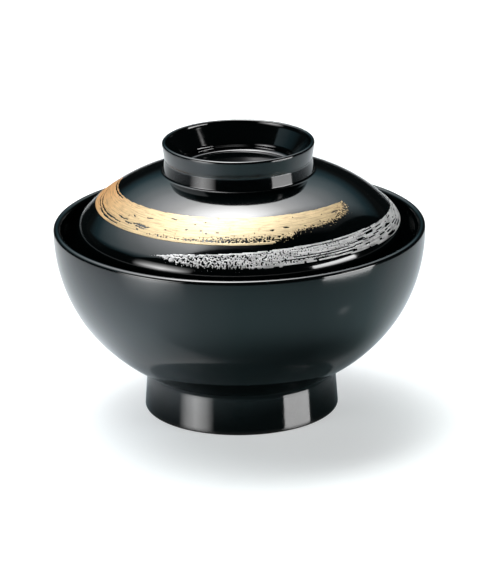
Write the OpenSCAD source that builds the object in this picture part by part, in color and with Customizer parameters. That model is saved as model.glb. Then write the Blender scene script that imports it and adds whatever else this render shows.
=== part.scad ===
// Lidded rice bowl: a deep round bowl on a turned foot, and a domed lid with a grip ring.
// The lid drops inside the bowl's mouth and its edge rests on the bowl's inner wall.
// Two brushed crescents of metal lacquer lie on the lid's crown.
// Origin: centre of the foot's underside. +Z is up, and the front is towards -Y.

/* [Bowl] */
// Outside diameter of the bowl at its mouth
mouth_d = 124; // [104:1:150]
// Height of the bowl from the foot's underside to the rim
bowl_h = 63.6; // [52:0.2:78]
// Thickness of the rim
rim_t = 2.4; // [2:0.1:3.2]
// Thickness of the wall below the lid's seat
wall_t = 4; // [3:0.1:5]
// Length of the wall's upright start below the rim, which sets how full the shoulder is
belly_drop = 20; // [16:1:24]
// Length of the wall's leaning end above the foot, which sets how full the belly is
belly_reach = 23; // [18:1:26]
// Lean of the wall where it meets the foot, in degrees above level
belly_lean = 27; // [22:1:32]
// Thickness of the floor in its middle
floor_t = 5; // [4:0.5:7]
// Drop of the floor's middle below the end of the wall
floor_dip = 2.2; // [1:0.1:3]

/* [Foot] */
// Diameter of the foot where it stands
foot_d = 65.2; // [52:0.2:76]
// Height of the foot up to the bowl's wall
foot_h = 13.7; // [10:0.1:18]
// How much further out the foot stands at its bottom than at its top
foot_flare = 1; // [0:0.1:2]
// Thickness of the foot's wall
foot_t = 3; // [2.4:0.1:4.5]
// Rounding where the foot meets the bowl
foot_fillet = 1.4; // [0.6:0.1:2]
// Rounding of the foot's two bottom edges
foot_round = 0.6; // [0.3:0.1:1]

/* [Lid] */
// Gap between the rim and the lid's shoulder, all round
shoulder_gap = 5.4; // [4:0.1:7]
// Drop of the lid's shoulder below the rim
shoulder_drop = 2.1; // [0:0.1:4]
// Depth below the rim at which the lid's edge rests on the bowl's inner wall
seat_depth = 17; // [12:0.5:22]
// Clearance between the lid's edge and the wall that it rests on
seat_gap = 0.2; // [0.1:0.05:0.3]
// Thickness of the lid
lid_t = 2.6; // [2:0.1:3.2]
// Rise of the crown above the shoulder
crown_rise = 21.3; // [17:0.1:25]
// Radius of the crown's curve
crown_round = 50; // [46:1:58]
// Radius of the shoulder's curve
shoulder_round = 8; // [6:0.5:10]

/* [Grip ring] */
// Diameter of the grip ring over its rim
ring_d = 50.6; // [42:0.2:60]
// Height of the grip ring above the crown
ring_h = 9.3; // [7:0.1:12]
// Thickness of the grip ring's rim
ring_t = 1.5; // [1.2:0.1:2]
// Height of the ring's waist above the crown
waist_h = 3.2; // [2.4:0.1:4]
// How far the waist lies inside the ring's rim
waist_in = 0.75; // [0.4:0.05:1]
// How far the ring's base lies inside the ring's rim
base_in = 0.15; // [0:0.05:0.5]
// Rounding where the ring meets the crown
base_fillet = 0.7; // [0.6:0.1:1.6]
// How much the ring's inside narrows from its rim to its floor
cup_in = 4.2; // [1:0.1:5]
// Rounding of the floor inside the ring
cup_fillet = 2; // [1:0.1:3]

/* [Brushed decoration] */
// Thickness of the metal lacquer
film_t = 0.15; // [0.1:0.01:0.2]
// Distance of the silver's outer edge inside the lid's shoulder
silver_margin = 0.6; // [0.4:0.1:2]
// How much smaller than its outer edge the circle of the silver's inner edge is
silver_slim = 0.9; // [0.6:0.1:1.4]
// Centre of the inner edge's circle, to the left of the axis and behind it
silver_in_at = [2.3, 2.9];
// Angle at which the silver starts, turning to the right from the front
silver_from = 114; // [100:1:120]
// Angle at which its tail begins to narrow
silver_narrows = -14; // [-20:0.1:0]
// Angle at which its tail runs out
silver_to = -32; // [-40:1:-20]
// Turn of the narrowing edge against the outer edge where they meet
silver_tail_turn = -8.5; // [-12:0.1:-7]
// Gap between the silver and the gold where they are closest
brush_gap = 1.2; // [0.6:0.1:3]
// How much smaller than its outer edge the circle of the gold's inner edge is
gold_slim = 7.8; // [6:0.1:8]
// Centre of the inner edge's circle, to the left of the axis and behind it
gold_in_at = [0, 1.8];
// Angle at which the gold starts
gold_from = -108; // [-120:1:-100]
// Angle at which its tail begins to narrow
gold_narrows = 13; // [0:0.1:20]
// Angle at which its tail runs out
gold_to = 58; // [40:1:70]
// Turn of the narrowing edge against the outer edge where they meet
gold_tail_turn = 15.5; // [10:0.1:18]
// Radius of the narrowing edge of both tails
tail_round = 70; // [66:1:90]

/* [Hidden] */
$fn = 96;
LACQUER = [0.04, 0.045, 0.05];
GOLD = [0.93, 0.78, 0.52];
SILVER = [0.8, 0.8, 0.8];
arc_steps = 24;
corner_steps = 8;

// Points on an arc about c, from angle a to angle b
function arc(c, r, a, b, n = arc_steps) =
    [for (i = [0:n]) let (t = a + (b - a) * i / n) c + r * [cos(t), sin(t)]];

// A rounded corner at k, from p to q
function corner(p, k, q, n = corner_steps) =
    [for (i = [0:n]) let (t = i / n) (1 - t) ^ 2 * p + 2 * t * (1 - t) * k + t ^ 2 * q];

function unit(v) = v / norm(v);

// Bowl: the wall's outer curve runs from the rim down to the foot
mouth_r = mouth_d / 2;
rim_round = rim_t / 2;
foot_r = foot_d / 2;
foot_top_r = foot_r - foot_flare;
wall_top = [mouth_r, bowl_h - rim_round];
wall_end = [foot_top_r, foot_h];
wall_pull = [wall_top - [0, belly_drop], wall_end + belly_reach * [cos(belly_lean), sin(belly_lean)]];
function wall_at(t) = (1 - t) ^ 3 * wall_top + 3 * t * (1 - t) ^ 2 * wall_pull[0]
    + 3 * t ^ 2 * (1 - t) * wall_pull[1] + t ^ 3 * wall_end;
function wall_run(t) = unit((1 - t) ^ 2 * (wall_pull[0] - wall_top)
    + 2 * t * (1 - t) * (wall_pull[1] - wall_pull[0]) + t ^ 2 * (wall_end - wall_pull[1]));
function wall_in(t) = let (d = wall_run(t)) [d.y, -d.x];

// The wall thickens from the rim down to the lid's seat, then keeps its thickness
function wall_thick(t) = let (s = min(1, (wall_top.y - wall_at(t).y) / (seat_depth - rim_round)))
    rim_t + (wall_t - rim_t) * s * s * (3 - 2 * s);
function inside_at(t) = wall_at(t) + wall_thick(t) * wall_in(t);
wall_steps = 48;
wall_outer = [for (i = [0:wall_steps]) wall_at(i / wall_steps)];
wall_inner = [for (i = [0:wall_steps]) inside_at(i / wall_steps)];

// Floor: the inner wall's last run is rounded into a level floor
wall_last = wall_inner[wall_steps];
floor_z = wall_last.y - floor_dip;
floor_turn = floor_dip / tan(belly_lean);
floor_corner = [wall_last.x - floor_turn, floor_z];
floor_flat_r = floor_corner.x - floor_turn;
recess_z = floor_z - floor_t;

// Lid's seat: the place on the inner wall at the seat's depth, and the lid's round edge on it
seat_t = lookup(bowl_h - seat_depth, [for (i = [wall_steps:-1:0]) [wall_inner[i].y, i / wall_steps]]);
edge_round = lid_t / 2;
edge_c = inside_at(seat_t) + (edge_round + seat_gap) * wall_in(seat_t);

// Lid: the shoulder's curve runs into the crown's curve, and a straight skirt drops to the edge
shoulder_r = mouth_r - rim_t - shoulder_gap;
shoulder_c = [shoulder_r - shoulder_round, bowl_h - shoulder_drop];
crown_z = shoulder_c.y + crown_rise;
round_diff = crown_round - shoulder_round;
crown_c = [shoulder_c.x - sqrt(round_diff ^ 2 - (shoulder_c.y - crown_z + crown_round) ^ 2),
    crown_z - crown_round];
to_shoulder = shoulder_c - crown_c;
turn_a = atan2(to_shoulder.y, to_shoulder.x);
to_edge = edge_c - shoulder_c;
skirt_a = atan2(to_edge.y, to_edge.x) + acos((shoulder_round - edge_round) / norm(to_edge));

// Angle on the crown's or the shoulder's curve at which the outside has radius r. Inside the centre of
// its curve the crown is level.
function crown_a(r) = acos(max(0, r - crown_c.x) / crown_round);
function shoulder_a(r) = acos((r - shoulder_c.x) / shoulder_round);
function crown_at(r) = [r, crown_c.y + crown_round * sin(crown_a(r))];

// Grip ring
ring_r = ring_d / 2;
ring_round = ring_t / 2;
ring_top = crown_z + ring_h;
base_r = ring_r - base_in;
waist = [ring_r - waist_in, crown_z + waist_h];
base_corner = crown_at(base_r);
base_out = crown_at(base_r + base_fillet);
base_up = base_corner + base_fillet * unit(waist - base_corner);
ring_in_r = ring_r - ring_t;
cup_r = ring_in_r - cup_in;

// Crescents: the silver lies inside the shoulder, and the gold inside the silver
silver_r = shoulder_r - silver_margin;
silver_in_r = silver_r - silver_slim;
silver_inner = silver_in_r - norm(silver_in_at);
gold_r = silver_inner - brush_gap;
gold_in_r = gold_r - gold_slim;
gold_inner = gold_in_r - norm(gold_in_at);

// The crown's outside in stretches that meet at the crescents' edges, so that they share its points
crown_marks = [turn_a, crown_a(silver_inner), crown_a(gold_r), crown_a(gold_inner), crown_a(base_out.x)];
mark_silver = shoulder_a(silver_r);
function crown_stretch(i, lift = 0) =
    arc(crown_c, crown_round + lift, crown_marks[i], crown_marks[i + 1], corner_steps);
function shoulder_low() = arc(shoulder_c, shoulder_round, skirt_a, mark_silver, corner_steps);
function shoulder_high(lift = 0) = arc(shoulder_c, shoulder_round + lift, mark_silver, turn_a, corner_steps);
function backwards(list) = [for (i = [len(list) - 1:-1:0]) list[i]];

// Outline of the bowl, from the floor's middle out over the rim and down to the foot
fillet_at = wall_end + foot_fillet * [cos(belly_lean), sin(belly_lean)];
fillet_to = wall_end - foot_fillet * unit([-foot_flare, foot_h]);
foot_in_r = foot_r - foot_t;
foot_in_top = [foot_in_r - foot_flare, recess_z];
bowl_outline = concat(
    [[0, floor_z]],
    backwards(corner(wall_last, floor_corner, [floor_flat_r, floor_z])),
    backwards([for (i = [0:wall_steps - 1]) wall_inner[i]]),
    backwards(arc(wall_top - [rim_round, 0], rim_round, 0, 180, corner_steps * 2)),
    [for (p = wall_outer) if (p.x > fillet_at.x && p.y < wall_top.y) p],
    corner(fillet_at, wall_end, fillet_to),
    corner([foot_r - foot_flare * foot_round / foot_h, foot_round], [foot_r, 0], [foot_r - foot_round, 0]),
    corner([foot_in_r + foot_round, 0], [foot_in_r, 0], [foot_in_r, foot_round]),
    corner(foot_in_top - [0, foot_fillet], foot_in_top, foot_in_top - [foot_fillet, 0]),
    [[0, recess_z]]
);

// Outline of the lid, from the middle of its underside out over the edge and up to the grip ring
lid_outline = concat(
    [[0, crown_z - lid_t]],
    backwards(arc(crown_c, crown_round - lid_t, turn_a, 90)),
    backwards(arc(shoulder_c, shoulder_round - lid_t, skirt_a, turn_a, corner_steps)),
    arc(edge_c, edge_round, skirt_a + 180, skirt_a + 360, corner_steps * 2),
    shoulder_low(),
    shoulder_high(),
    crown_stretch(0), crown_stretch(1), crown_stretch(2), crown_stretch(3),
    corner(base_out, base_corner, base_up),
    [waist],
    arc([ring_r - ring_round, ring_top - ring_round], ring_round, 0, 180, corner_steps * 2),
    corner([cup_r, crown_z + cup_fillet], [cup_r, crown_z], [cup_r - cup_fillet, crown_z]),
    [[0, crown_z]]
);

// The round-bottomed bowl with its foot, turned in one piece
module bowl() {
    color(LACQUER) rotate_extrude() polygon(bowl_outline);
}

// The domed lid with its grip ring, turned in one piece
module lid() {
    color(LACQUER) rotate_extrude() polygon(lid_outline);
}

// A direction from the axis, turning to the right from the front
function heading(a) = [sin(a), -cos(a)];

// The plan of a crescent whose outer edge has radius r: outside its inner edge, between the angles where
// the brush was set down and where it ran dry, and inside the tail's narrowing edge
module crescent(r, in_r, in_at, from, to, narrows, turn) {
    tail_c = r * heading(narrows) - tail_round * heading(narrows + turn);
    swept = [for (i = [0:arc_steps]) mouth_r * heading(from + (to - from) * i / arc_steps)];
    intersection() {
        linear_extrude(ring_top) polygon(concat([[0, 0]], swept));
        difference() {
            cylinder(r = mouth_r, h = ring_top);
            translate([-in_at.x, in_at.y, -1]) cylinder(r = in_r, h = ring_top + 2);
        }
        translate(tail_c) cylinder(r = tail_round, h = ring_top);
    }
}

// Gold lacquer, brushed on the crown: broad, with a tail that narrows at the front right
module gold_brushstroke() {
    color(GOLD) intersection() {
        rotate_extrude() polygon(concat(crown_stretch(2), backwards(crown_stretch(2, film_t))));
        crescent(gold_r, gold_in_r, gold_in_at, gold_from, gold_to, gold_narrows, gold_tail_turn);
    }
}

// Silver lacquer, brushed along the shoulder: slim, with a tail that narrows at the front left
module silver_brushstroke() {
    color(SILVER) intersection() {
        rotate_extrude() polygon(concat(shoulder_high(), crown_stretch(0),
            backwards(crown_stretch(0, film_t)), backwards(shoulder_high(film_t))));
        crescent(silver_r, silver_in_r, silver_in_at, silver_from, silver_to, silver_narrows,
            silver_tail_turn);
    }
}

bowl();
lid();
gold_brushstroke();
silver_brushstroke();
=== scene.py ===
# Lidded rice bowl in black lacquer, with a gold and a silver brushstroke on the lid.
import bmesh, bpy, math
from mathutils import Matrix, Vector, noise


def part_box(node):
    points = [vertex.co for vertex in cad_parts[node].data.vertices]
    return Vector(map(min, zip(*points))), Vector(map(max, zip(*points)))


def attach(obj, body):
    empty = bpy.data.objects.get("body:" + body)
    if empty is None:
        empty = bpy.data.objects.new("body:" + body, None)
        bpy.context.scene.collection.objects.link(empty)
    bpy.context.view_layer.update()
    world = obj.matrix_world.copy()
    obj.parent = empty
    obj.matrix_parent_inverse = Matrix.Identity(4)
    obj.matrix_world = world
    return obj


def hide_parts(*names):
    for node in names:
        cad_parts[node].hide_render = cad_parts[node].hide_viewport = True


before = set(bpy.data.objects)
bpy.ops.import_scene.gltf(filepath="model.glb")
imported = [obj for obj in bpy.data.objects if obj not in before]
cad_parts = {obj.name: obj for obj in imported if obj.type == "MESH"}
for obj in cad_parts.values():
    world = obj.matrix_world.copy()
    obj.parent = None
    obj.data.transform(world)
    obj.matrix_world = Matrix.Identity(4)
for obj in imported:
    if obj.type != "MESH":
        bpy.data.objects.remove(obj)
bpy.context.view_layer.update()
mm = 0.001


# ---- Bowl -----------------------------------------------------------------------------------------
# A round-bottomed bowl, moulded or turned in one piece with its foot and trued on a lathe. Rim, wall,
# floor and foot are lacquered black in many coats and polished to a mirror.
bowl_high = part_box("bowl")[1]
mouth_r, rim_z = bowl_high.x, bowl_high.z
rim_t, wall_t = 2.4 * mm, 4 * mm
seat_depth = 17 * mm
foot_r, foot_h, foot_flare, foot_t = 32.6 * mm, 13.7 * mm, 1 * mm, 3 * mm
foot_fillet, foot_round = 1.4 * mm, 0.6 * mm
belly_drop, belly_reach, belly_lean = 20 * mm, 23 * mm, 27
floor_dip, floor_t = 2.2 * mm, 5 * mm
foot_rubbed = 1.4 * mm
bowl_deep, bowl_warm = (0.0003, 0.0010, 0.0011), (0.0008, 0.0018, 0.0019)


def pointing(degrees):
    """A direction in the lathe's plane, across and up, from its angle above the level."""
    return Vector((math.cos(math.radians(degrees)), math.sin(math.radians(degrees))))


def arc(centre, r, start, end, steps):
    """Points of an arc in the lathe's plane, from one angle in degrees to another."""
    return [centre + r * pointing(start + (end - start) * i / steps) for i in range(steps + 1)]


def eased(p, corner, q, steps=10):
    """Points of a soft corner, as a scraper leaves it."""
    return [p.lerp(corner, i / steps).lerp(corner.lerp(q, i / steps), i / steps) for i in range(steps + 1)]


def straight(p, q, steps):
    """Points on the way from one point to another, without the two."""
    return [p.lerp(q, i / steps) for i in range(1, steps)]


belly_out = pointing(belly_lean)
rim_c = Vector((mouth_r - rim_t / 2, rim_z - rim_t / 2))
wall_top = Vector((mouth_r, rim_c.y))
wall_end = Vector((foot_r - foot_flare, foot_h))
wall_pulls = (wall_top - Vector((0, belly_drop)), wall_end + belly_reach * belly_out)


def wall_at(t):
    """A point of the bowl's outside, on one smooth curve from the rim, at 0, to the foot, at 1."""
    a = wall_top.lerp(wall_pulls[0], t)
    b = wall_pulls[0].lerp(wall_pulls[1], t)
    c = wall_pulls[1].lerp(wall_end, t)
    return a.lerp(b, t).lerp(b.lerp(c, t), t)


def into_wall(t):
    """The direction from the bowl's outside into its wall."""
    step = 0.001
    run = (wall_at(t + step) - wall_at(t - step)).normalized()
    return Vector((run.y, -run.x))


def inside_at(t):
    """The bowl's inside: the wall thickens from the rim down to the lid's seat."""
    down = min(1, max(0, (wall_top.y - wall_at(t).y) / (seat_depth - rim_t / 2)))
    return wall_at(t) + (rim_t + (wall_t - rim_t) * down * down * (3 - 2 * down)) * into_wall(t)


wall_steps = 64
outside = [wall_at(i / wall_steps) for i in range(wall_steps + 1)]
inside = [inside_at(i / wall_steps) for i in range(wall_steps + 1)]
floor_z = inside[-1].y - floor_dip
floor_turn = floor_dip / math.tan(math.radians(belly_lean))
floor_corner = Vector((inside[-1].x - floor_turn, floor_z))
floor_edge = floor_corner - Vector((floor_turn, 0))
foot_side = Vector((foot_flare, -foot_h)).normalized()
foot_low = Vector((foot_r, 0)) - foot_round * foot_side
foot_in = Vector((foot_r - foot_t, 0))
hollow_r = foot_r - foot_t - foot_flare
recess_z = floor_z - floor_t
hollow = Vector((hollow_r, recess_z))

# The outline runs from the axis over the floor, up the inside, round the rim, down the outside to the
# foot, round its edge and up into the hollow under it
bowl_profile = [Vector((floor_edge.x * i / 12, floor_z)) for i in range(12)]
bowl_profile += eased(floor_edge, floor_corner, inside[-1], 14)
bowl_profile += inside[-2:0:-1]
bowl_profile += arc(rim_c, rim_t / 2, 180, 0, 20)
bowl_profile += [p for p in outside[1:-1] if p.x > wall_end.x + foot_fillet]
bowl_profile += eased(wall_end + foot_fillet * belly_out, wall_end, wall_end + foot_fillet * foot_side)
bowl_profile += straight(bowl_profile[-1], foot_low, 10)
bowl_profile += eased(foot_low, Vector((foot_r, 0)), Vector((foot_r - foot_round, 0)), 6)
bowl_profile += eased(foot_in + Vector((foot_round, 0)), foot_in, foot_in + Vector((0, foot_round)), 6)
bowl_profile += eased(hollow - Vector((0, foot_fillet)), hollow, hollow - Vector((foot_fillet, 0)))
bowl_profile += [Vector(((hollow_r - foot_fillet) * (1 - i / 8), recess_z)) for i in range(1, 9)]

arc_steps = 8


def swept(points, angle, steps):
    """A bmesh of a line of points spun round the bowl's axis, one short arc after another."""
    bm = bmesh.new()
    line = [bm.verts.new(p) for p in points]
    last = line + [bm.edges.new(pair) for pair in zip(line, line[1:])]
    for _ in range(steps // arc_steps):
        last = bmesh.ops.spin(bm, geom=last, axis=(0, 0, 1), cent=(0, 0, 0),
                              angle=angle * arc_steps / steps, steps=arc_steps)["geom_last"]
    return bm


def placed(name, bm):
    """An object in the scene, made from a bmesh."""
    mesh = bpy.data.meshes.new(name)
    bm.to_mesh(mesh)
    bm.free()
    made = bpy.data.objects.new(name, mesh)
    bpy.context.collection.objects.link(made)
    return made


def turned(name, profile, steps=224):
    """A round piece: its outline is spun once round, and closed at its seam and its poles."""
    bm = swept([(p.x, 0, p.y) for p in profile], 2 * math.pi, steps)
    bmesh.ops.remove_doubles(bm, verts=bm.verts, dist=0.002 * mm)
    bmesh.ops.recalc_face_normals(bm, faces=bm.faces)
    piece = placed(name, bm)
    piece.data.shade_smooth()
    return piece


def empty_material(name):
    """A material that has no nodes yet."""
    material = bpy.data.materials.new(name)
    material.use_nodes = True
    material.node_tree.nodes.clear()
    return material


def node(tree, kind, links=(), **settings):
    """A shader node with its settings, and its inputs linked or set."""
    made = tree.nodes.new("ShaderNode" + kind)
    for key, value in settings.items():
        setattr(made, key, value)
    for key, value in dict(links).items():
        if isinstance(value, bpy.types.NodeSocket):
            tree.links.new(value, made.inputs[key])
        else:
            made.inputs[key].default_value = value
    return made


def ramp(tree, fac, *stops):
    """A colour ramp through (place, colour) stops, where one number stands for a grey."""
    made = node(tree, "ValToRGB", {"Fac": fac})
    points = made.color_ramp.elements
    while len(points) < len(stops):
        points.new(0.5)
    for point, (place, colour) in zip(points, stops):
        point.position = place
        point.color = (*colour, 1) if isinstance(colour, tuple) else (colour, colour, colour, 1)
    return made.outputs["Color"]


def times(tree, first, second):
    """One colour multiplied by another."""
    made = node(tree, "Mix", {"Factor": 1.0, "A": first, "B": second}, data_type="RGBA",
                blend_type="MULTIPLY")
    return made.outputs["Result"]


def black_lacquer(name, deep, warm, rubbed_below):
    """Polished black lacquer. Its depth varies a little, the polish leaves faint rings round the axis, dust
    sits under the last coat, and below a given height it has been rubbed by what it stands on."""
    haze_roughness, rubbed_roughness, rubbed_colour = 0.045, 0.55, (0.035, 0.03, 0.026, 1)
    dust_height = 0.5
    material = empty_material(name)
    tree = material.node_tree
    place = node(tree, "TexCoord").outputs["Object"]
    cloud = node(tree, "TexNoise", {"Vector": place, "Scale": 38.0, "Detail": 4.0, "Roughness": 0.6})
    colour = ramp(tree, cloud.outputs["Fac"], (0.3, deep), (0.75, warm))
    split = node(tree, "SeparateXYZ", {"Vector": place})
    across = node(tree, "CombineXYZ", {"X": split.outputs["X"], "Y": split.outputs["Y"]})
    radius = node(tree, "VectorMath", {0: across.outputs["Vector"]}, operation="LENGTH")
    rings_at = node(tree, "CombineXYZ", {"X": radius.outputs["Value"], "Z": split.outputs["Z"]})
    rings = node(tree, "TexNoise", {"Vector": rings_at.outputs["Vector"], "Scale": 900.0, "Detail": 5.0,
                                    "Roughness": 0.7})
    haze = node(tree, "TexNoise", {"Vector": place, "Scale": 90.0, "Detail": 6.0, "Roughness": 0.65})
    dust = node(tree, "TexVoronoi", {"Vector": place, "Scale": 620.0, "Randomness": 1.0})
    speck = ramp(tree, dust.outputs["Distance"], (0.0, 1.0), (0.07, 0.0))
    few = ramp(tree, cloud.outputs["Fac"], (0.52, 0.0), (0.62, 1.0))
    dusty = node(tree, "Math", {0: speck, 1: few}, operation="MULTIPLY")
    rub = node(tree, "MapRange", {"Value": split.outputs["Z"], "From Min": rubbed_below, "From Max": 0.0})
    rubbed = node(tree, "Math", {0: rub.outputs["Result"], 1: rings.outputs["Fac"]}, operation="MULTIPLY")
    rough = ramp(tree, rings.outputs["Fac"], (0.3, 0.035), (0.75, 0.075))
    rough_haze = node(tree, "Math", {0: haze.outputs["Fac"], 1: haze_roughness, 2: rough},
                      operation="MULTIPLY_ADD")
    rough_rubbed = node(tree, "Math", {0: rubbed.outputs["Value"], 1: rubbed_roughness,
                                       2: rough_haze.outputs["Value"]}, operation="MULTIPLY_ADD")
    base = node(tree, "Mix", {"Factor": rubbed.outputs["Value"], "A": colour, "B": rubbed_colour},
                data_type="RGBA")
    peel = node(tree, "TexNoise", {"Vector": place, "Scale": 260.0, "Detail": 2.0, "Roughness": 0.4})
    height = node(tree, "Math", {0: dusty.outputs["Value"], 1: dust_height, 2: peel.outputs["Fac"]},
                  operation="MULTIPLY_ADD")
    bump = node(tree, "Bump", {"Height": height.outputs["Value"], "Strength": 0.035, "Distance": 0.4 * mm})
    finish = node(tree, "BsdfPrincipled", {
        "Base Color": base.outputs["Result"], "Roughness": rough_rubbed.outputs["Value"],
        "IOR": 1.7, "Normal": bump.outputs["Normal"]})
    node(tree, "OutputMaterial", {"Surface": finish.outputs["BSDF"]})
    return material


bowl = turned("bowl_turned", bowl_profile)
bowl.data.materials.append(black_lacquer("bowl_lacquer", bowl_deep, bowl_warm, foot_rubbed))
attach(bowl, "bowl_body")
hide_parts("bowl")


# ---- Lid ------------------------------------------------------------------------------------------
# The lid is made like the bowl: a domed crown, a skirt that drops inside the bowl's mouth to a round
# edge that rests on the inner wall, and a grip ring left standing on the crown. Black lacquer all over.
lid_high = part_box("lid")[1]
lid_t, seat_gap = 2.6 * mm, 0.2 * mm
shoulder_gap, shoulder_drop, shoulder_round = 5.4 * mm, 2.1 * mm, 8 * mm
crown_round, crown_rise = 50 * mm, 21.3 * mm
ring_r, ring_t, ring_top = 25.3 * mm, 1.5 * mm, lid_high.z
waist_in, waist_h, waist_soft = 0.75 * mm, 3.2 * mm, 0.35 * mm
base_in, base_fillet = 0.15 * mm, 0.7 * mm
cup_in, cup_fillet = 4.2 * mm, 2 * mm
lid_deep, lid_warm = (0.0003, 0.0009, 0.0010), (0.0007, 0.0015, 0.0016)
# A height below the whole lid, because nothing rubs it
lid_rubbed = lid_high.z - 60 * mm

shoulder_r = mouth_r - rim_t - shoulder_gap
shoulder_c = Vector((shoulder_r - shoulder_round, rim_z - shoulder_drop))
crown_z = shoulder_c.y + crown_rise
crown_y = crown_z - crown_round
crown_x = shoulder_c.x - math.sqrt((crown_round - shoulder_round) ** 2 - (shoulder_c.y - crown_y) ** 2)
crown_c = Vector((crown_x, crown_y))
seat_t = min((i / 400 for i in range(401)), key=lambda t: abs(inside_at(t).y - (rim_z - seat_depth)))
edge_round = lid_t / 2
edge_c = inside_at(seat_t) + (edge_round + seat_gap) * into_wall(seat_t)
to_edge = edge_c - shoulder_c

# The angles in degrees where the crown's arc passes into the shoulder's, and that into the straight skirt
turn = math.degrees(math.atan2(*(shoulder_c - crown_c).yx))
skirt = math.degrees(math.atan2(to_edge.y, to_edge.x)
                     + math.acos((shoulder_round - edge_round) / to_edge.length))


def on_lid(r):
    """A point of the lid's outside and the direction out of it, at a distance from the axis."""
    c, size = shoulder_c, shoulder_round
    if r < crown_c.x + crown_round * math.cos(math.radians(turn)):
        c, size = crown_c, crown_round
    a = math.acos(min(1, (r - c.x) / size))
    out = Vector((math.cos(a), math.sin(a)))
    return c + size * out, out


waist = Vector((ring_r - waist_in, crown_z + waist_h))
base_corner = on_lid(ring_r - base_in)[0]
base_out = on_lid(base_corner.x + base_fillet)[0]
base_up = base_corner + base_fillet * (waist - base_corner).normalized()
base_at = math.degrees(math.acos((base_out.x - crown_c.x) / crown_round))
ring_side = Vector((ring_r, ring_top - ring_t / 2))
cup_r = ring_r - ring_t - cup_in
cup_low = Vector((cup_r, crown_z + cup_fillet))

# The outline runs from the axis under the crown, down the inside of the skirt, round its edge, back over
# the outside to the ring, up the ring's waist, over its rim and down the cup
lid_profile = [Vector((crown_c.x * i / 6, crown_z - lid_t)) for i in range(6)]
lid_profile += arc(crown_c, crown_round - lid_t, 90, turn, 64)[:-1]
lid_profile += arc(shoulder_c, shoulder_round - lid_t, turn, skirt, 20)
lid_profile += straight(lid_profile[-1], edge_c + edge_round * pointing(skirt + 180), 6)
lid_profile += arc(edge_c, edge_round, skirt + 180, skirt + 360, 16)
lid_profile += straight(lid_profile[-1], shoulder_c + shoulder_round * pointing(skirt), 6)
lid_profile += arc(shoulder_c, shoulder_round, skirt, turn, 32)[:-1]
lid_profile += arc(crown_c, crown_round, turn, base_at, 72)[:-1]
lid_profile += eased(base_out, base_corner, base_up, 12)
lid_profile += eased(waist - waist_soft * (waist - base_up).normalized(), waist,
                     waist + waist_soft * (ring_side - waist).normalized(), 6)
lid_profile += straight(lid_profile[-1], ring_side, 6)
lid_profile += arc(ring_side - Vector((ring_t / 2, 0)), ring_t / 2, 0, 180, 20)
lid_profile += straight(lid_profile[-1], cup_low, 8)
lid_profile += eased(cup_low, Vector((cup_r, crown_z)), Vector((cup_r - cup_fillet, crown_z)), 12)
lid_profile += [Vector(((cup_r - cup_fillet) * (1 - i / 10), crown_z)) for i in range(1, 11)]

lid = turned("lid_turned", lid_profile)
lid.data.materials.append(black_lacquer("lid_lacquer", lid_deep, lid_warm, lid_rubbed))
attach(lid, "lid_body")
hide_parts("lid")


# ---- Gold brushstroke -----------------------------------------------------------------------------
# Gold powder in lacquer, laid on the crown in one turn of a stiff flat brush. It starts full at the left,
# its bristles part along both edges, and to the right it runs dry and breaks up into specks.
gold_dark = (0.16, 0.08, 0.03)
# The tints along the stroke are partly the powder's own colour and partly painted shade: the middle stops
# are  dimmed where the key light's glare falls on the front of the stroke
gold_tints_and_shade = ((0.0, (0.70, 0.34, 0.12)), (0.2, (0.66, 0.41, 0.19)), (0.35, (0.54, 0.40, 0.22)),
              (0.62, (0.56, 0.46, 0.29)), (1.0, (0.52, 0.38, 0.20)))
# Where the brush went. Headings are in degrees from the front towards the right, distances in millimetres.
gold_ends, gold_band = (-108, 59.5), (37.9, 48.1)
gold_middle, gold_core = 45, 0.75
gold_inner_c, gold_inner_r = Vector((0, 1.8)), 40
# Along the stroke: its outer edge, how wide the fading band inside the full one is, and how bare it gets
gold_outer = ((13, 47.7), (16, 46.9), (22, 46.0), (25, 44.9), (31, 44.5), (41, 44.3), (50, 43.6),
              (56, 42.9), (59, 41.5))
gold_fading = ((-48, 0.3), (-38, 0.7), (-16, 1.3), (-6, 2.7), (14, 3.0), (24, 1.6), (44, 2.0),
               (50, 4.0), (59, 6))
gold_bare = ((-48, 0), (-38, 0.8), (-18, 0.95), (-6, 1.05), (14, 1.1), (26, 0.8), (44, 0.85),
             (52, 0.95), (59, 1.2))
# Two gaps between parted bristles near the outer edge, as depths under it
gold_partings = (((-101, 2.7), (-91, 1.8), (-81, 1.35), (-71, 0.95), (-57, 0.75)),
                 ((-101, 3.6), (-89, 2.7), (-82, 2.2), (-72, 1.75), (-57, 1.6)))
# Places where single bristles skipped: from one heading to another, the distance, and half the width
gold_skips = [(-62, -54, 44.7, 0.22), (-55, -50, 45.4, 0.25), (-50, -40, 45.0, 0.45), (-48, -42, 45.6, 0.2),
              (-46.5, -45, 46.3, 0.25), (-45.5, -41, 42.1, 0.2), (-53.5, -51.5, 42.8, 0.22),
              (-33, -29.5, 40.5, 0.2), (-32.8, -31.8, 44.5, 0.25), (-23.5, -22.5, 43.5, 0.3),
              (-17, -16, 43.6, 0.3), (-14.5, -13.5, 44.3, 0.35), (-20.5, -19.5, 41.6, 0.2),
              (-10, -8.5, 43.9, 0.25), (13, 15, 43.5, 0.3), (19, 22, 43.0, 0.25), (46, 51, 41.4, 0.3)]


def grain(along, across, seed):
    """Smooth random values along and across a stroke, from about -1 to 1."""
    return noise.noise(Vector((along, across, seed)))


def between(x, *points):
    """The value at x on a line through points."""
    for (a, va), (b, vb) in zip(points, points[1:]):
        if x < b:
            return va + (vb - va) * max(0, (x - a) / (b - a))
    return points[-1][1]


def inner_edge(az, centre, r):
    """Distance from the axis of a stroke's inner edge, a circle about a point off the axis."""
    h = Vector((math.sin(math.radians(az)), -math.cos(math.radians(az)))).dot(centre)
    return h + math.sqrt(h * h + r * r - centre.length_squared)


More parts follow.
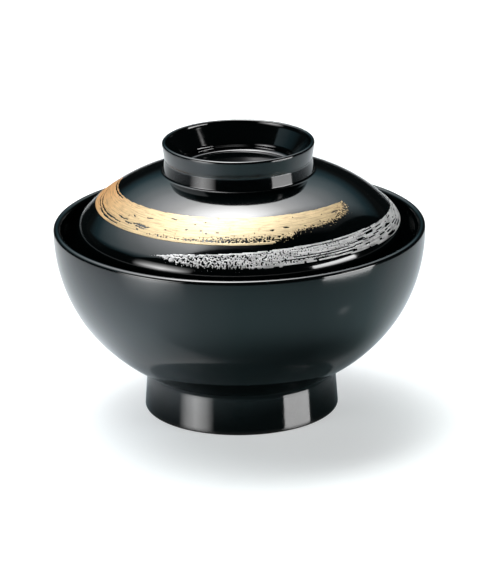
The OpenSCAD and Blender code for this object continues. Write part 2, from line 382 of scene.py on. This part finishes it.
def gold_skipped(az, r, along):
    """Whether a single bristle skipped here. Each skip is pointed at its ends and uneven at its sides."""
    for start, end, at, half in gold_skips:
        if start < az < end:
            width = half * (0.55 + 0.9 * grain(along / 0.9, at, 6) ** 2)
            width *= math.sin(math.pi * (az - start) / (end - start)) ** 0.4
            if abs(r - at - 0.3 * grain(along / 2, at, 2)) < width:
                return True
    return False


def gold_laid(az, r):
    """Whether the brush left gold at a heading and a distance from the axis."""
    along = math.radians(az) * gold_middle
    dry = between(az, (12, 0), (20, 1))
    edge = between(az, *gold_outer)
    edge += dry * (0.6 * grain(along / 0.9, 0, 3) + 0.5 * grain(along / 0.45, 0, 8))
    edge += 0.07 * grain(along / 3, 0, 12)
    depth = edge - r
    inside_of = r - inner_edge(az, gold_inner_c, gold_inner_r) - 0.08 * grain(along / 2.5, 0, 21)
    fine = 0.75 * grain(along / 0.62, r / 0.45, 5) + 0.4 * grain(along / 0.3, r / 0.25, 61)
    if inside_of < 0 or az < -106.5 + 2.2 * grain(0, r / 0.4, 31):
        return False
    # Past the outer edge the dry brush leaves only specks
    if depth < 0:
        return dry > 0.5 and depth > -1.0 and az < 57 and fine > 0.36
    if az < -57:
        gap = 0.13 * between(az, (-66, 1), (-57, 0.5))
        partings = [between(az, *parting) for parting in gold_partings]
        if any(abs(depth - at - 0.1 * grain(along / 4, at, 17)) < gap for at in partings):
            return grain(along / 3.5, depth, 44) > 0.4
    # One more gap between bristles, near the inner edge at the start
    if az < -72 and abs(inside_of - 0.62) < 0.16 * between(az, (-80, 1), (-72, 0.4)):
        return False
    if gold_skipped(az, r, along):
        return False
    # A narrow band along the outer edge is full for as long as the brush is wet
    if az < 14 and depth < gold_core:
        return True
    reach = (depth - (gold_core if az < 14 else 0)) / between(az, *gold_fading)
    if reach < 1:
        return fine < 0.62 - 0.62 * between(az, *gold_bare) * (1 - reach ** 2)
    return grain(along / 0.9, r / 0.6, 55) < 0.7


def stroke_film(name, laid, ends, band, cell=0.19, high=0.1, sunk=0.03):
    """A film of lacquer on the lid. A line across the stroke is spun along it, the places that the brush
    left bare are taken out, the edges are smoothed, and what is left gets its thickness."""
    (start, end), (r_in, r_out) = ends, band
    across = round((r_out - r_in) / cell)
    steps = arc_steps * round(math.radians(end - start) * (r_in + r_out) / (2 * arc_steps) / cell)
    line = []
    for i in range(across + 1):
        p, out = on_lid((r_in + (r_out - r_in) * i / across) * mm)
        p = p + high * mm * out
        line.append((p.x * math.sin(math.radians(start)), -p.x * math.cos(math.radians(start)), p.y))
    bm = swept(line, math.radians(end - start), steps)
    cells = {}
    for face in bm.faces:
        c = face.calc_center_median()
        i = int((math.degrees(math.atan2(c.x, -c.y)) - start) / (end - start) * steps)
        j = int((math.hypot(c.x, c.y) / mm - r_in) / (r_out - r_in) * across)
        cells[i, j] = face
    kept = {}
    for i, j in cells:
        az = start + (end - start) * (i + 0.5) / steps
        kept[i, j] = laid(az, r_in + (r_out - r_in) * (j + 0.5) / across)
    # Where two kept cells would touch only at a corner, one more is kept
    for i, j in sorted(cells):
        here, beyond = kept[i, j], kept.get((i + 1, j))
        beside, corner = kept.get((i, j + 1)), kept.get((i + 1, j + 1))
        if here and corner and not beyond and not beside:
            kept[i + 1, j] = True
        if beyond and beside and not here and not corner:
            kept[i, j] = True
    bmesh.ops.delete(bm, geom=[cells[k] for k in cells if not kept[k]], context="FACES")
    for _ in range(2):
        bmesh.ops.smooth_vert(bm, verts=[v for v in bm.verts if v.is_boundary], factor=0.5,
                              use_axis_x=True, use_axis_y=True, use_axis_z=True)
    bmesh.ops.recalc_face_normals(bm, faces=bm.faces)
    if sum(f.normal.z for f in bm.faces) < 0:
        bmesh.ops.reverse_faces(bm, faces=bm.faces)
    bmesh.ops.solidify(bm, geom=bm.faces[:], thickness=(high + sunk) * mm)
    uv = bm.loops.layers.uv.new("stroke")
    for face in bm.faces:
        for loop in face.loops:
            x, y = loop.vert.co.xy
            loop[uv].uv = (math.atan2(x, -y) * (r_in + r_out) / 2 * mm, math.hypot(x, y))
    piece = placed(name, bm)
    piece.data.shade_smooth()
    return piece


def metal_lacquer(name, span, metallic, lines, dark, *tints):
    """Metal powder in clear lacquer: its colour shifts along the stroke, the bristles comb fine lines into
    it, the powder sparkles in small grains, and it is thin and dark where a bristle pressed through."""
    line_height = 0.8
    material = empty_material(name)
    tree = material.node_tree
    place = node(tree, "UVMap", uv_map="stroke").outputs["UV"]
    split = node(tree, "SeparateXYZ", {"Vector": place})
    run = node(tree, "MapRange", {"Value": split.outputs["X"], "From Min": span[0], "From Max": span[1]})
    colour = ramp(tree, run.outputs["Result"], *tints)
    combed_at = node(tree, "Mapping", {"Vector": place, "Scale": (160.0, 3200.0, 1.0)})
    combed = node(tree, "TexNoise", {"Vector": combed_at.outputs["Vector"], "Scale": 1.0, "Detail": 4.0,
                                     "Roughness": 0.6})
    powder_at = node(tree, "TexCoord").outputs["Object"]
    powder = node(tree, "TexNoise", {"Vector": powder_at, "Scale": 5200.0, "Detail": 2.0, "Roughness": 0.6})
    cloud = node(tree, "TexNoise", {"Vector": powder_at, "Scale": 420.0, "Detail": 4.0, "Roughness": 0.6})
    line = ramp(tree, combed.outputs["Fac"], (0.36, lines[0]), (0.47, 0.95), (0.66, lines[1]))
    grains = ramp(tree, powder.outputs["Fac"], (0.3, 0.82), (0.7, 1.15))
    grained = times(tree, times(tree, colour, line), grains)
    thin = ramp(tree, cloud.outputs["Fac"], (0.24, 0.55), (0.38, 0.0))
    body = node(tree, "Mix", {"Factor": thin, "A": grained, "B": (*dark, 1)}, data_type="RGBA")
    rough = node(tree, "MapRange", {"Value": powder.outputs["Fac"], "From Min": 0.3, "From Max": 0.7,
                                    "To Min": 0.38, "To Max": 0.56})
    height = node(tree, "Math", {0: combed.outputs["Fac"], 1: line_height, 2: powder.outputs["Fac"]},
                  operation="MULTIPLY_ADD")
    bump = node(tree, "Bump", {"Height": height.outputs["Value"], "Strength": 0.35, "Distance": 0.05 * mm})
    finish = node(tree, "BsdfPrincipled", {
        "Base Color": body.outputs["Result"], "Metallic": metallic, "Roughness": rough.outputs["Result"],
        "Normal": bump.outputs["Normal"]})
    node(tree, "OutputMaterial", {"Surface": finish.outputs["BSDF"]})
    return material


gold = stroke_film("gold_stroke", gold_laid, gold_ends, gold_band)
gold.data.materials.append(metal_lacquer("gold_lacquer", (-0.082, 0.045), 0.55, (0.6, 1.2), gold_dark,
                                         *gold_tints_and_shade))
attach(gold, "lid_body")
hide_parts("gold_brushstroke")


# ---- Silver brushstroke ---------------------------------------------------------------------------
# Silver powder in lacquer, laid along the shoulder with the same brush but drier. It starts thin at the
# right, shows the bristles' lines, and breaks up into specks towards its tip at the front left.
silver_ends, silver_band = (-34, 114.5), (48.7, 54.0)
silver_middle = 51.5
silver_inner_c, silver_inner_r = Vector((-2.3, 2.9)), 52.7
silver_outer = ((-33, 51.6), (-25.5, 52.7), (-18, 53.2), (-8.7, 53.3), (4, 53.4), (25, 53.3),
                (38, 53.3), (48, 53.5), (60, 53.8))
silver_bare = ((-33, 0.6), (-18, 0.85), (-6, 0.9), (14, 0.72), (36, 0.45), (62, 0.2), (90, 0.1))
silver_dark = (0.06, 0.06, 0.06)
silver_tints = ((0.0, (0.62, 0.61, 0.61)), (0.35, (0.58, 0.58, 0.58)), (1.0, (0.46, 0.46, 0.45)))


def silver_laid(az, r):
    """Whether the brush left silver at a heading and a distance from the axis."""
    along = math.radians(az) * silver_middle
    dry = between(az, (0, 1), (9, 0))
    edge = between(az, *silver_outer)
    edge += (dry * (0.4 * grain(along / 0.9, 0, 4) + 0.5 * grain(along / 0.4, 0, 9))
             + 0.06 * grain(along / 3, 0, 14))
    depth = edge - r
    inside_of = r - inner_edge(az, silver_inner_c, silver_inner_r) - 0.06 * grain(along / 2, 0, 23)
    inside_of -= between(az, (-34, 0.55), (-27, 0.3), (-24, 0))
    fine = 0.62 * grain(along / 0.55, r / 0.36, 7) + 0.55 * grain(along / 0.26, r / 0.19, 19)
    if inside_of < 0 or az > 112 + 2.5 * grain(0, r / 0.4, 33):
        return False
    # Past the outer edge the dry tip leaves only specks
    if depth < 0:
        return dry > 0.5 and depth > -0.7 and fine > 0.4
    # Both edges are lines that break off here and there
    if depth < 0.42 and az > 3:
        return grain(along / 2.2, 0, 41) < 0.5
    if inside_of < between(az, (-30, 0.25), (0, 0.42), (110, 0.42)):
        return grain(along / 1.5, 1, 43) < 0.42
    if fine > 0.5 - 0.5 * between(az, *silver_bare):
        return False
    # Between the edges the bristles leave long lines, shorter towards the tip
    combed = grain(along / between(az, (10, 1.5), (45, 6)), r / 0.26, 9)
    return combed < between(az, (10, 0.6), (30, 0.26), (70, 0.2), (90, 0.3), (110, 0.5))


silver = stroke_film("silver_stroke", silver_laid, silver_ends, silver_band, cell=0.18)
silver.data.materials.append(metal_lacquer("silver_lacquer", (-0.03, 0.1), 0.45, (0.35, 1.35), silver_dark,
                                           *silver_tints))
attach(silver, "lid_body")
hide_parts("silver_brushstroke")


# ---- Table ----------------------------------------------------------------------------------------
# A plain white table with a faint gloss. What the lacquer mirrors is a second sheet a hair above it, whose
# tint is painted shade and painted light, as the bowl's shade and the dark front of the studio leave it:
# dim and a little green in front, lighter behind.
table_r, table_gloss, table_glow = 2.2, 0.06, 0.5
mirrored_r, mirrored_z, mirrored_gloss = 1.75, 0.1 * mm, 0.10
table_white = (0.86, 0.88, 0.88)
# Painted shade and painted light for the mirrored sheet, by direction from the bowl: dim in front, lighter
# behind
mirrored_shade_and_light = ((0.0, (0.84, 0.90, 0.95)), (0.117, (0.66, 0.78, 0.84)), (0.19, (0.35, 0.46, 0.49)),
                  (0.25, (0.23, 0.35, 0.37)), (0.356, (0.22, 0.32, 0.34)), (0.453, (0.30, 0.42, 0.44)),
                  (0.528, (0.62, 0.70, 0.73)), (0.62, (0.80, 0.86, 0.90)), (0.80, (0.98, 1.0, 1.0)),
                  (1.0, (0.84, 0.90, 0.95)))


def table_top(name, radius, height, roughness, glow, *tints):
    """A round sheet of white studio plastic. Its tint changes with the direction from the bowl, once round
    from the left over the front. On the mirrored sheet that tint is painted shade and painted light."""
    bm = bmesh.new()
    bmesh.ops.create_circle(bm, cap_ends=True, radius=radius, segments=96)
    bmesh.ops.translate(bm, vec=(0, 0, height), verts=bm.verts)
    bm.normal_update()
    made = placed(name, bm)
    material = empty_material(name)
    tree = material.node_tree
    place = node(tree, "TexCoord").outputs["Object"]
    heading = node(tree, "TexGradient", {"Vector": place}, gradient_type="RADIAL")
    cloud = node(tree, "TexNoise", {"Vector": place, "Scale": 3.0, "Detail": 2.0})
    uneven = ramp(tree, cloud.outputs["Fac"], (0.3, 0.97), (0.7, 1.0))
    colour = times(tree, ramp(tree, heading.outputs["Fac"], *tints), uneven)
    finish = node(tree, "BsdfPrincipled", {"Base Color": colour, "Roughness": roughness,
                                           "Coat Weight": 1.0, "Coat Roughness": roughness,
                                           "Emission Color": (1, 1, 1, 1), "Emission Strength": glow})
    node(tree, "OutputMaterial", {"Surface": finish.outputs["BSDF"]})
    made.data.materials.append(material)
    return made


table = table_top("table", table_r, 0, table_gloss, table_glow, (0.0, table_white), (1.0, table_white))
table.visible_glossy = False
mirrored = table_top("table_mirrored", mirrored_r, mirrored_z, mirrored_gloss, 0.0, *mirrored_shade_and_light)
for kind in ("camera", "diffuse", "shadow"):
    setattr(mirrored, "visible_" + kind, False)


# ---- Lamps ----------------------------------------------------------------------------------------
# The key light is a sheet of diffuser hung in an arch from behind the bowl to above it, lit near its top.
# A low softbox stands at each side, with a small strip light above the right one. All are set out from
# the bowl's middle and face it, and the camera doesn't see them.
middle_z, lamp_reach = 0.05, 1.8
arch_left, arch_length, arch_low = -3.6, 4.9, math.radians(12)
hot_az, hot_el, hot_spread = 194, 77, math.radians(64)
lit_az, lit_edge, key_strength = 225, 0.25, 15.0


def toward(azimuth, elevation):
    """The direction from the bowl's middle, round from the front to the right and up, in degrees."""
    az, el = math.radians(azimuth), math.radians(elevation)
    return Vector((math.sin(az) * math.cos(el), -math.cos(az) * math.cos(el), math.sin(el)))


def shining(tree, colour, strength):
    """Makes a material give light of its own."""
    light = node(tree, "Emission", {"Color": colour, "Strength": strength})
    node(tree, "OutputMaterial", {"Surface": light.outputs["Emission"]})


def lamp(name, bm):
    """The sheet of a lamp, which the camera doesn't see. Returns the nodes of its material."""
    made = placed(name, bm)
    material = empty_material(name)
    made.data.materials.append(material)
    made.visible_camera = False
    return material.node_tree


bm = bmesh.new()
rod = [bm.verts.new((arch_left + arch_length * i / 16, lamp_reach * math.cos(arch_low),
                     middle_z + lamp_reach * math.sin(arch_low))) for i in range(17)]
arch = rod + [bm.edges.new(pair) for pair in zip(rod, rod[1:])]
bmesh.ops.spin(bm, geom=arch, axis=(1, 0, 0), cent=(0, 0, middle_z), angle=math.radians(90), steps=30)
tree = lamp("key_diffuser", bm)
seen_from = node(tree, "VectorMath", {0: node(tree, "TexCoord").outputs["Object"], 1: (0, 0, middle_z)},
                 operation="SUBTRACT")
ray = node(tree, "VectorMath", {0: seen_from.outputs["Vector"]}, operation="NORMALIZE")
facing = node(tree, "VectorMath", {0: ray.outputs["Vector"], 1: toward(hot_az, hot_el)},
              operation="DOT_PRODUCT")
off = node(tree, "Math", {0: facing.outputs["Value"]}, operation="ARCCOSINE")
share = node(tree, "Math", {0: off.outputs["Value"], 1: hot_spread}, operation="DIVIDE")
glow = ramp(tree, share.outputs["Value"], (0.0, 1.0), (0.12, 0.9), (0.21, 0.68), (0.28, 0.48), (0.36, 0.30),
            (0.48, (0.185, 0.19, 0.195)), (0.62, (0.085, 0.092, 0.095)), (0.75, (0.034, 0.043, 0.046)),
            (0.9, (0.005, 0.010, 0.012)), (1.0, 0.001))
# The sheet is dark on the side away from the left back
lit_side = node(tree, "VectorMath", {0: ray.outputs["Vector"], 1: toward(lit_az, 0)},
                operation="DOT_PRODUCT")
level = node(tree, "MapRange", {"Value": lit_side.outputs["Value"], "From Min": -lit_edge,
                                "From Max": lit_edge})
shade = ramp(tree, level.outputs["Result"], (0.0, 0.0), (0.4, 0.1), (0.5, 0.2), (0.8, 1.0))
shining(tree, times(tree, glow, shade), key_strength)


def softbox(name, azimuth, elevation, width, height, strength, rise, *sides):
    """A lit sheet that faces the bowl. It fades from its middle to its sides and from its foot up."""
    bm = bmesh.new()
    bmesh.ops.create_grid(bm, x_segments=1, y_segments=1, size=0.5)
    uv = bm.loops.layers.uv.new("sheet")
    for face in bm.faces:
        for loop in face.loops:
            loop[uv].uv = loop.vert.co.xy
    bmesh.ops.scale(bm, vec=(width, height, 1), verts=bm.verts)
    out = toward(azimuth, elevation)
    bmesh.ops.transform(bm, matrix=Matrix.Translation(Vector((0, 0, middle_z)) + lamp_reach * out)
                        @ out.to_track_quat("Z", "Y").to_matrix().to_4x4(), verts=bm.verts)
    tree = lamp(name, bm)
    split = node(tree, "SeparateXYZ", {"Vector": node(tree, "UVMap", uv_map="sheet").outputs["UV"]})
    side = node(tree, "Math", {0: split.outputs["X"]}, operation="ABSOLUTE")
    up = node(tree, "Math", {0: split.outputs["Y"], 1: 0.5}, operation="ADD")
    shining(tree, times(tree, ramp(tree, side.outputs["Value"], *sides),
                        ramp(tree, up.outputs["Value"], *rise)), strength)


softbox("left_softbox", -56, 14, 1.5, 1.05, 10.0,
        ((0.0, 0.35), (0.25, 0.42), (0.42, 1.0), (0.7, 0.35), (1.0, 0.0)),
        (0.0, 1.0), (0.25, 0.6), (0.5, 0.0))
softbox("right_softbox", 69, 7, 1.15, 0.62, 10.0, ((0.35, 0.35), (0.6, 1.0)), (0.0, 1.0), (0.5, 1.0))
softbox("right_strip", 76, 36, 0.32, 0.16, 6.0, ((0.0, 0.3), (0.5, 1.0), (1.0, 0.3)),
        (0.0, 1.0), (0.5, 0.0))


# ---- Backdrop and camera --------------------------------------------------------------------------
# A white backdrop closes the studio all round. It is there for the eye only, and the lacquer mirrors the
# nearly dark room instead. The camera looks down at the front from a little above the lid.
backdrop_r = 4.0
room_tint, room_level = (0.85, 0.95, 1.0, 1), 0.008
camera_el, camera_reach, camera_roll = 18.55, 1.2, math.radians(0.76)
camera_aim = Vector((0.0028, -0.0023, 0.0431))

bm = bmesh.new()
bmesh.ops.create_uvsphere(bm, u_segments=48, v_segments=24, radius=backdrop_r)
bmesh.ops.reverse_faces(bm, faces=bm.faces)
backdrop = placed("backdrop", bm)
backdrop.data.materials.append(empty_material("backdrop_white"))
shining(backdrop.data.materials[0].node_tree, (1, 1, 1, 1), 1.0)
for kind in ("diffuse", "glossy", "transmission", "shadow", "volume_scatter"):
    setattr(backdrop, "visible_" + kind, False)

world = bpy.data.worlds.new("studio")
world.use_nodes = True
world.node_tree.nodes["Background"].inputs["Color"].default_value = room_tint
world.node_tree.nodes["Background"].inputs["Strength"].default_value = room_level
bpy.context.scene.world = world

camera = bpy.data.objects.new("camera", bpy.data.cameras.new("camera"))
bpy.context.collection.objects.link(camera)
bpy.context.scene.camera = camera
camera.location = Vector((0, 0, middle_z)) + camera_reach * toward(0, camera_el)
camera.rotation_mode = "QUATERNION"
camera.rotation_quaternion = ((camera.location - camera_aim).to_track_quat("Z", "Y")
                              @ Matrix.Rotation(-camera_roll, 4, "Z").to_quaternion())
camera.data.lens = 228.6
camera.data.sensor_width = 36
camera.data.clip_end = 20
bpy.context.scene.view_settings.view_transform = "Standard"
